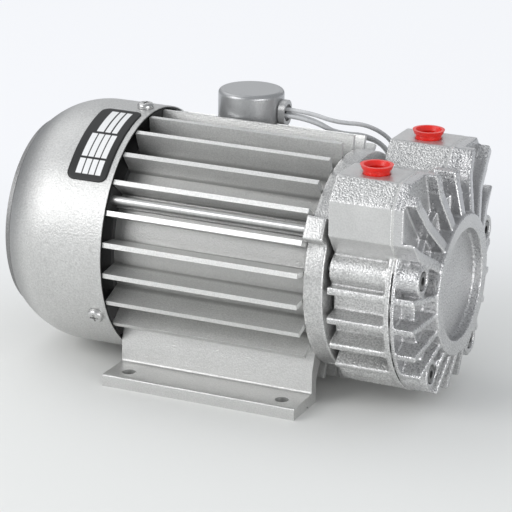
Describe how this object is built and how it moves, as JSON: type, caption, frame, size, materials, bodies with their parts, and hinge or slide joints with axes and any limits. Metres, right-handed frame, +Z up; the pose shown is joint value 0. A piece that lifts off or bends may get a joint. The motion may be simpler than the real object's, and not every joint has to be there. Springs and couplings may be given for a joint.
{
  "type": "oil-free vacuum pump",
  "caption": "Motor-driven dry rotary vane vacuum pump with a finned motor on feet, a fan cowl, a finned pump end with ports on top and a round cover.",
  "frame": {"origin": "centre of the four foot holes, on the base plane of the feet", "axes": "+X along the shaft towards the pump end, +Z up"},
  "size_m": [0.2311, 0.1625, 0.14],
  "materials": {
    "cast_aluminium": "coarse sprayed casting, satin",
    "extruded_aluminium": "satin painted extrusion",
    "painted_steel": "satin silver paint",
    "pot_paint": "satin grey paint",
    "zinc_steel": "zinc plated",
    "black_steel": "black oxide",
    "ground_steel": "ground",
    "lamination_steel": "stacked sheet",
    "machined_aluminium": "machined",
    "varnished_copper": "varnished winding",
    "black_plastic": "moulded",
    "carbon": "self-lubricating carbon",
    "felt": "pressed felt",
    "gasket_sheet": "thin sheet",
    "red_plastic": "soft moulded",
    "grommet_rubber": "painted over",
    "lead_insulation": "flexible insulation"
  },
  "bodies": {
    "pump_frame": {"motor_housing": "extruded_aluminium", "front_bracket": "cast_aluminium", "rear_bracket": "cast_aluminium", "tie_rods": "zinc_steel", "fan_cowl": "painted_steel", "cowl_screws": "zinc_steel", "stator_core": "lamination_steel", "stator_windings": "varnished_copper", "rear_bearing_outer": "ground_steel", "front_bearing_outer": "ground_steel", "side_plate": "ground_steel", "pump_cylinder": "cast_aluminium", "inlet_filter": "felt", "outlet_filter": "felt", "cover_gasket": "gasket_sheet", "end_cover": "cast_aluminium", "cover_screws": "black_steel", "terminal_saddle": "cast_aluminium", "terminal_pot": "pot_paint", "lead_grommet": "grommet_rubber", "motor_lead_1": "lead_insulation", "motor_lead_2": "lead_insulation", "motor_lead_3": "lead_insulation"},
    "shaft_assembly": {"motor_shaft": "ground_steel", "rotor_key": "zinc_steel", "rotor_core": "lamination_steel", "rotor_end_rings": "cast_aluminium", "rear_bearing_inner": "ground_steel", "front_bearing_inner": "ground_steel", "cooling_fan": "black_plastic", "fan_clip": "zinc_steel", "pump_rotor": "machined_aluminium"},
    "rear_ball_cage": {"rear_bearing_balls": "ground_steel"},
    "front_ball_cage": {"front_bearing_balls": "ground_steel"},
    "vane_one_body": {"vane_1": "carbon"},
    "vane_two_body": {"vane_2": "carbon"},
    "vane_three_body": {"vane_3": "carbon"},
    "vane_four_body": {"vane_4": "carbon"},
    "inlet_plug": {"inlet_cap": "red_plastic"},
    "outlet_plug": {"outlet_cap": "red_plastic"}
  },
  "joints": [
    {"name": "shaft_spin", "type": "hinge", "parent": "pump_frame", "child": "shaft_assembly", "pos_m": [0, 0, 0.067], "axis": [1, 0, 0], "continuous": true},
    {"name": "rear_balls_spin", "type": "hinge", "parent": "pump_frame", "child": "rear_ball_cage", "pos_m": [0, 0, 0.067], "axis": [1, 0, 0], "continuous": true},
    {"name": "front_balls_spin", "type": "hinge", "parent": "pump_frame", "child": "front_ball_cage", "pos_m": [0, 0, 0.067], "axis": [1, 0, 0], "continuous": true},
    {"name": "vane_1_slide", "type": "slide", "parent": "shaft_assembly", "child": "vane_one_body", "axis": [0, 0.7071, 0.7071], "range_m": [0, 0.0011]},
    {"name": "vane_2_slide", "type": "slide", "parent": "shaft_assembly", "child": "vane_two_body", "axis": [0, -0.7071, 0.7071], "range_m": [0, 0.0011]},
    {"name": "vane_3_slide", "type": "slide", "parent": "shaft_assembly", "child": "vane_three_body", "axis": [0, -0.7071, -0.7071], "range_m": [0, 0.0011]},
    {"name": "vane_4_slide", "type": "slide", "parent": "shaft_assembly", "child": "vane_four_body", "axis": [0, 0.7071, -0.7071], "range_m": [0, 0.0011]},
    {"name": "inlet_cap_pull", "type": "slide", "parent": "pump_frame", "child": "inlet_plug", "axis": [0, 0, 1], "range_m": [0, 0.02]},
    {"name": "outlet_cap_pull", "type": "slide", "parent": "pump_frame", "child": "outlet_plug", "axis": [0, 0, 1], "range_m": [0, 0.02]}
  ],
  "couplings": [
    {"joint": "rear_balls_spin", "follows": "shaft_spin", "ratio": 0.38},
    {"joint": "front_balls_spin", "follows": "shaft_spin", "ratio": 0.38}
  ]
}
